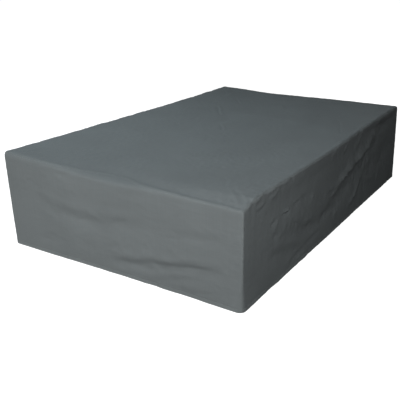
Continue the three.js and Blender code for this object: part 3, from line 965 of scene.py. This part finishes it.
def add_node(tree, kind, inputs=None, **settings):
    """A node of that kind with its settings. Its inputs are set to values or linked to sockets or nodes."""
    node = tree.nodes.new(kind)
    for name, value in settings.items():
        setattr(node, name, value)
    for name, value in (inputs or {}).items():
        if isinstance(value, bpy.types.Node):
            value = value.outputs[0]
        if isinstance(value, bpy.types.NodeSocket):
            tree.links.new(value, node.inputs[name])
        else:
            node.inputs[name].default_value = value
    return node


def new_material(name, inputs):
    """A material whose surface shader has those inputs, with its tree and that shader."""
    material = bpy.data.materials.new(name)
    material.use_nodes = True
    tree = material.node_tree
    tree.nodes.clear()
    shader = add_node(tree, "ShaderNodeBsdfPrincipled", inputs)
    add_node(tree, "ShaderNodeOutputMaterial", {"Surface": shader})
    return material, tree, shader


def clouded(tree, shader, colour, scale, detail, spread):
    """Gives the surface a colour that is lighter and darker by a share, in soft clouds."""
    place = add_node(tree, "ShaderNodeTexCoord").outputs["Object"]
    clouds = add_node(tree, "ShaderNodeTexNoise", {"Vector": place, "Scale": scale, "Detail": detail})
    tone = add_node(tree, "ShaderNodeMapRange", {0: clouds, "To Min": 1 - spread, "To Max": 1 + spread})
    shade = add_node(tree, "ShaderNodeVectorMath", {0: colour[:3], "Scale": tone}, operation="SCALE")
    tree.links.new(shade.outputs[0], shader.inputs["Base Color"])


def woven_cloth(finish):
    """Solution dyed polyester, plain woven and coated on its back.

    It is matt, with a faint bloom at the edges of its folds, threads that vary a little in thickness and
    shade, and paler where seams and hem are rubbed.
    """
    material, tree, shader = new_material("woven_polyester", {
        "Sheen Weight": 0.03, "Sheen Roughness": 0.5, "Sheen Tint": finish.rubbed_colour,
        "Specular IOR Level": 0.25,
    })
    where = add_node(tree, "ShaderNodeUVMap", uv_map="cloth").outputs[0]
    parts = add_node(tree, "ShaderNodeSeparateXYZ", {0: where})
    # The real threads lie 0.6 mm apart. They are drawn four times as coarse, so that the weave shows.
    turns = 2 * math.pi / finish.thread_pitch
    waves = []
    for axis in (0, 1):
        phase = add_node(tree, "ShaderNodeMath", {0: parts.outputs[axis], 1: turns}, operation="MULTIPLY")
        waves.append(add_node(tree, "ShaderNodeMath", {0: phase}, operation="SINE"))
    weave = add_node(tree, "ShaderNodeMath", {0: waves[0], 1: waves[1]}, operation="MULTIPLY")
    # Thicker and darker threads run 150 to 300 mm before they fade, in both directions of the cloth.
    slubs = []
    for scale in ((5, 130, 1), (160, 4, 1)):
        stretched = add_node(tree, "ShaderNodeMapping", {"Vector": where, "Scale": scale})
        grained = {"Vector": stretched, "Scale": 1.0, "Detail": 2.0}
        slubs.append(add_node(tree, "ShaderNodeTexNoise", grained))
    slub = add_node(tree, "ShaderNodeMath", {0: slubs[0], 1: slubs[1]}, operation="ADD")
    limits = {"From Min": 0.7, "From Max": 1.3, "To Min": 0.97, "To Max": 1.03}
    tone = add_node(tree, "ShaderNodeMapRange", {0: slub, **limits})
    place = add_node(tree, "ShaderNodeTexCoord").outputs["Object"]
    patches = add_node(tree, "ShaderNodeTexNoise", {"Vector": place, "Scale": 2.6, "Detail": 3.0})
    limits = {"From Min": 0.3, "From Max": 0.7, "To Min": 0.95, "To Max": 1.05}
    faded = add_node(tree, "ShaderNodeMapRange", {0: patches, **limits})
    shade = add_node(tree, "ShaderNodeMath", {0: tone, 1: faded}, operation="MULTIPLY")
    lit = {0: weave, 1: WEAVE_SHADE, 2: shade}
    toned = add_node(tree, "ShaderNodeMath", lit, operation="MULTIPLY_ADD")
    cloth = finish.cloth_colour[:3]
    dyed = add_node(tree, "ShaderNodeVectorMath", {0: cloth, "Scale": toned}, operation="SCALE")
    edges = add_node(tree, "ShaderNodeAttribute", attribute_name="rubbed").outputs["Fac"]
    specks = add_node(tree, "ShaderNodeTexNoise", {"Vector": place, "Scale": 60.0, "Detail": 3.0})
    rubbed = add_node(tree, "ShaderNodeMath", {0: edges, 1: specks}, operation="MULTIPLY")
    blend = {0: rubbed, 6: dyed, 7: finish.rubbed_colour}
    colour = add_node(tree, "ShaderNodeMix", blend, data_type="RGBA")
    tree.links.new(colour.outputs[2], shader.inputs["Base Color"])
    limits = {"To Min": finish.roughness - UNEVEN, "To Max": finish.roughness + UNEVEN}
    rough = add_node(tree, "ShaderNodeMapRange", {0: patches, **limits})
    tree.links.new(rough.outputs[0], shader.inputs["Roughness"])
    fine = add_node(tree, "ShaderNodeTexNoise", {"Vector": place, "Scale": 55.0, "Detail": 3.0})
    crumpled = add_node(tree, "ShaderNodeBump", {"Height": fine, "Strength": 0.5, "Distance": 0.0012})
    threads = {"Height": weave, "Strength": 0.5, "Distance": 0.0003, "Normal": crumpled}
    tree.links.new(add_node(tree, "ShaderNodeBump", threads).outputs[0], shader.inputs["Normal"])
    return material


def coated_back(finish):
    """The polyurethane coating on the cloth's back: smooth, a little glossy, and darker than the face."""
    material, tree, shader = new_material("polyurethane_coating", {"Roughness": 0.45})
    clouded(tree, shader, finish.back_colour, 9.0, 4.0, 0.15)
    return material


def twisted_thread(finish):
    """Bonded polyester thread, spun and twisted: a soft lustre and a shade lighter than the cloth."""
    material, tree, shader = new_material("bonded_thread", {"Roughness": 0.6, "Sheen Weight": 0.1})
    clouded(tree, shader, finish.thread_colour, 400.0, 1.0, 0.15)
    return material


def painted_floor(stage):
    """Matt painted studio floor, pale and plain, with a little light of its own so that it stays pale."""
    material, tree, shader = new_material("matt_paint", {
        "Roughness": 0.9, "Specular IOR Level": 0.1, "Emission Color": (1, 1, 1, 1),
        "Emission Strength": stage.floor_glow,
    })
    clouded(tree, shader, stage.floor_colour, 0.6, 2.0, 0.01)
    return material


def once(name, make, settings):
    """The material of that name, made only the first time that a piece asks for it."""
    return bpy.data.materials.get(name) or make(settings)


SMALL_LENGTH = {"unit": "LENGTH", "precision": 4}
COLOUR = {"subtype": "COLOR", "size": 4, "min": 0, "max": 1}


class CoverSizes(bpy.types.PropertyGroup):
    """Sizes of the cover's cloth, seams and stitches."""

    cloth_thickness: FloatProperty(
        name="Cloth thickness", description="Thickness of the cloth where its edges show",
        default=0.0012, min=0.0003, max=0.003, **SMALL_LENGTH,
    )
    seam_rise: FloatProperty(
        name="Seam rise", description="How far the turned under edges lift the cloth at its seam",
        default=0.0009, min=0, max=0.005, **SMALL_LENGTH,
    )
    hem_rise: FloatProperty(
        name="Hem rise", description="How far the turned up edge lifts the cloth at its hem",
        default=0.001, min=0, max=0.005, **SMALL_LENGTH,
    )
    pucker_depth: FloatProperty(
        name="Pucker depth", description="Depth of the gathers beside the seam and the hem",
        default=0.0022, min=0, max=0.006, **SMALL_LENGTH,
    )
    crinkle_depth: FloatProperty(
        name="Crinkle depth", description="Depth of the fine crumpled relief",
        default=0.0016, min=0, max=0.004, **SMALL_LENGTH,
    )
    stitch_pitch: FloatProperty(
        name="Stitch pitch", description="Distance from one stitch to the next",
        default=0.005, min=0.003, max=0.02, **SMALL_LENGTH,
    )
    thread_width: FloatProperty(
        name="Thread width", description="Width of the sewing thread",
        default=0.001, min=0.0003, max=0.002, **SMALL_LENGTH,
    )


class CoverFinish(bpy.types.PropertyGroup):
    """Colours and finish of the cover's materials."""

    cloth_colour: FloatVectorProperty(
        name="Cloth", description="Colour of the woven face", default=linear("#5f6465"), **COLOUR,
    )
    rubbed_colour: FloatVectorProperty(
        name="Rubbed cloth", description="Colour where seams and hem are rubbed",
        default=linear("#7f8685"), **COLOUR,
    )
    back_colour: FloatVectorProperty(
        name="Coating", description="Colour of the coated back", default=linear("#3d4142"), **COLOUR,
    )
    thread_colour: FloatVectorProperty(
        name="Thread", description="Colour of the sewing thread", default=linear("#6c7272"), **COLOUR,
    )
    thread_pitch: FloatProperty(
        name="Weave pitch", description="Distance over which the drawn weave repeats",
        default=0.0024, min=0.0005, max=0.02, **SMALL_LENGTH,
    )
    roughness: FloatProperty(
        name="Roughness", description="Roughness of the woven face", default=0.85, min=0, max=1,
        subtype="FACTOR",
    )


class CoverStage(bpy.types.PropertyGroup):
    """Floor and light of the stage."""

    floor_colour: FloatVectorProperty(
        name="Floor", description="Colour of the floor and backdrop", default=linear("#8c8c8c"), **COLOUR,
    )
    floor_glow: FloatProperty(
        name="Floor glow", description="Light that the floor gives off of its own",
        default=1.0, min=0, max=1,
    )
    ambient: FloatProperty(
        name="Ambient", description="Strength of the even light from all round",
        default=0.05, min=0, max=2,
    )


def finish_piece(piece, *nodes):
    """Ties a piece to the frame: it rides on the only body, and the frame's parts that it stands for are
    hidden.
    """
    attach(piece, "root")
    if nodes:
        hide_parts(*nodes)


class COVER_OT_top_panel(bpy.types.Operator):
    """Make the top panel, which turns over the rim to the seam"""

    bl_idname = "cover.top_panel"
    bl_label = "Top panel"

    def execute(self, context):
        sizes, finish = context.scene.cover_sizes, context.scene.cover_finish
        piece = cloth_object("top_cloth", top_cloth(sizes), sizes, finish)
        finish_piece(piece, "top_panel")
        return {"FINISHED"}


class COVER_OT_skirt(bpy.types.Operator):
    """Make the skirt, which hangs from the seam to the floor on all four sides"""

    bl_idname = "cover.skirt"
    bl_label = "Skirt"

    def execute(self, context):
        sizes, finish = context.scene.cover_sizes, context.scene.cover_finish
        cloth, lap = skirt_cloth(sizes)
        piece = cloth_object("skirt_cloth", cloth, sizes, finish, lap)
        finish_piece(piece, "skirt")
        return {"FINISHED"}


class COVER_OT_stitches(bpy.types.Operator):
    """Make the stitches on both sides of the seam and along the hem"""

    bl_idname = "cover.stitches"
    bl_label = "Stitches"

    def execute(self, context):
        sizes, finish = context.scene.cover_sizes, context.scene.cover_finish
        thread = once("bonded_thread", twisted_thread, finish)
        below = [row.away for row in SEAM_PROFILE].index(TOPSTITCH_AWAY)
        above = 1 + TOP_RING.index(TOPSTITCH_AWAY)
        up = [row.away for row in HEM_PROFILE].index(HEM_STITCH_UP)
        hem = len(SEAM_PROFILE) + MIDDLE_ROWS + len(HEM_PROFILE) - 1 - up
        seams = {
            "seam_stitches": [("top_cloth", above), ("skirt_cloth", below)],
            "hem_stitches": [("skirt_cloth", hem)],
        }
        for name, rows in seams.items():
            finish_piece(stitches_object(name, rows, sizes, thread))
        return {"FINISHED"}


class Light(NamedTuple):
    """A soft light: its place, what it points at, its size in metres, its power in watts and its colour."""

    name: str
    place: tuple
    aim: tuple
    size: tuple
    power: float
    colour: tuple


NEUTRAL = (1, 1, 1)
COOL = (0.9, 1, 1.05)
COVER_FRONT = (0.2, -0.9, 0.4)  # a place on the front half of the cover, at half height
SQUARE = (2.2, 2.2)
LOW = (2.0, 1.2)

LIGHTS = [
    Light("front", (-0.84, -4.80, 0.52), COVER_FRONT, (2.4, 0.9), 106, NEUTRAL),
    Light("right", (2.70, -3.40, 2.28), COVER_FRONT, SQUARE, 108, NEUTRAL),
    Light("high_left", (-0.90, -1.15, 3.50), COVER_FRONT, SQUARE, 56, COOL),
    Light("left_back", (-3.12, 1.02, 3.61), COVER_FRONT, SQUARE, 52, COOL),
    Light("left_fill", (-5.5, 0.6, 0.9), (-1.0, 0.4, 0.4), LOW, 60, NEUTRAL),
    Light("back_fill", (0.3, 6.5, 0.9), (0.0, 1.5, 0.4), LOW, 60, NEUTRAL),
]

# The floor is flat this far out, in metres, and then curves up into a backdrop all round.
FLOOR_REACH = 16
BACKDROP_TURN = 5
BACKDROP_HEIGHT = 14

CAMERA_PLACE = (2.487, -4.447, 1.963)
CAMERA_AZIMUTH = 32.19  # degrees from the front wall's own direction, towards the right wall
CAMERA_ELEVATION = 20.68
CAMERA_LENS = 55.4  # millimetres, on a sensor 36 mm wide


def curved_backdrop(material, steps=64, bends=10):
    """A round floor whose rim curves up into a wall. It shows and takes shadows, and lights nothing."""
    turns = np.linspace(0, math.pi / 2, bends + 1)
    rings = [(FLOOR_REACH + BACKDROP_TURN * math.sin(t), BACKDROP_TURN * (1 - math.cos(t))) for t in turns]
    rings.append((FLOOR_REACH + BACKDROP_TURN, BACKDROP_HEIGHT))
    around = np.linspace(0, 2 * math.pi, steps, endpoint=False)
    points = [(0, 0, 0)] + [(r * math.cos(a), r * math.sin(a), z) for r, z in rings for a in around]
    faces = [(0, 1 + k, 1 + (k + 1) % steps) for k in range(steps)]
    for row in range(len(rings) - 1):
        low, high = 1 + row * steps, 1 + (row + 1) * steps
        after = [(k + 1) % steps for k in range(steps)]
        faces += [(low + k, high + k, high + after[k], low + after[k]) for k in range(steps)]
    mesh = bpy.data.meshes.new("backdrop")
    mesh.from_pydata(points, [], faces)
    mesh.shade_smooth()
    mesh.materials.append(material)
    backdrop = add_object("backdrop", mesh)
    backdrop.visible_diffuse = False
    backdrop.visible_glossy = False
    backdrop.visible_shadow = False
    return backdrop


def look_along(thing, place, direction):
    """Puts a lamp or a camera at a place, looking in a direction."""
    thing.location = place
    thing.rotation_euler = Vector(direction).to_track_quat("-Z", "Y").to_euler()


class COVER_OT_stage(bpy.types.Operator):
    """Make the floor, the lights and the camera"""

    bl_idname = "cover.stage"
    bl_label = "Stage"

    def execute(self, context):
        scene, stage = context.scene, context.scene.cover_stage
        curved_backdrop(painted_floor(stage))
        for row in LIGHTS:
            lamp = bpy.data.lights.new(row.name, "AREA")
            lamp.shape = "RECTANGLE"
            lamp.size, lamp.size_y = row.size
            lamp.energy = row.power
            lamp.color = row.colour
            holder = add_object(row.name, lamp)
            look_along(holder, row.place, Vector(row.aim) - Vector(row.place))
            holder.visible_camera = False
        world = bpy.data.worlds.new("studio")
        world.use_nodes = True
        background = world.node_tree.nodes["Background"]
        background.inputs["Color"].default_value = (1, 1, 1, 1)
        background.inputs["Strength"].default_value = stage.ambient
        scene.world = world
        scene.view_settings.view_transform = "Standard"
        lens = bpy.data.cameras.new("camera")
        lens.lens = CAMERA_LENS
        lens.sensor_width = 36
        scene.camera = add_object("camera", lens)
        a, e = math.radians(CAMERA_AZIMUTH), math.radians(CAMERA_ELEVATION)
        look = (-math.sin(a) * math.cos(e), math.cos(a) * math.cos(e), -math.sin(e))
        look_along(scene.camera, CAMERA_PLACE, look)
        return {"FINISHED"}


class COVER_PT_panel(bpy.types.Panel):
    """The cover's steps and settings"""

    bl_idname = "COVER_PT_panel"
    bl_label = "Lounge set cover"
    bl_space_type = "VIEW_3D"
    bl_region_type = "UI"
    bl_category = "Cover"

    def draw(self, context):
        layout = self.layout
        for step in STEPS:
            layout.operator(step.bl_idname)
        for group in (context.scene.cover_sizes, context.scene.cover_finish, context.scene.cover_stage):
            column = layout.column()
            for name in group.__annotations__:
                column.prop(group, name)


STEPS = (COVER_OT_stage, COVER_OT_top_panel, COVER_OT_skirt, COVER_OT_stitches)
CLASSES = (CoverSizes, CoverFinish, CoverStage, *STEPS, COVER_PT_panel)
GROUPS = {"cover_sizes": CoverSizes, "cover_finish": CoverFinish, "cover_stage": CoverStage}


def register():
    for one in CLASSES:
        bpy.utils.register_class(one)
    for name, group in GROUPS.items():
        setattr(bpy.types.Scene, name, PointerProperty(type=group))


def unregister():
    for name in GROUPS:
        delattr(bpy.types.Scene, name)
    for one in reversed(CLASSES):
        bpy.utils.unregister_class(one)


def main():
    register()
    bpy.ops.cover.stage()
    bpy.ops.cover.top_panel()
    bpy.ops.cover.skirt()
    bpy.ops.cover.stitches()


if __name__ == "__main__":
    main()
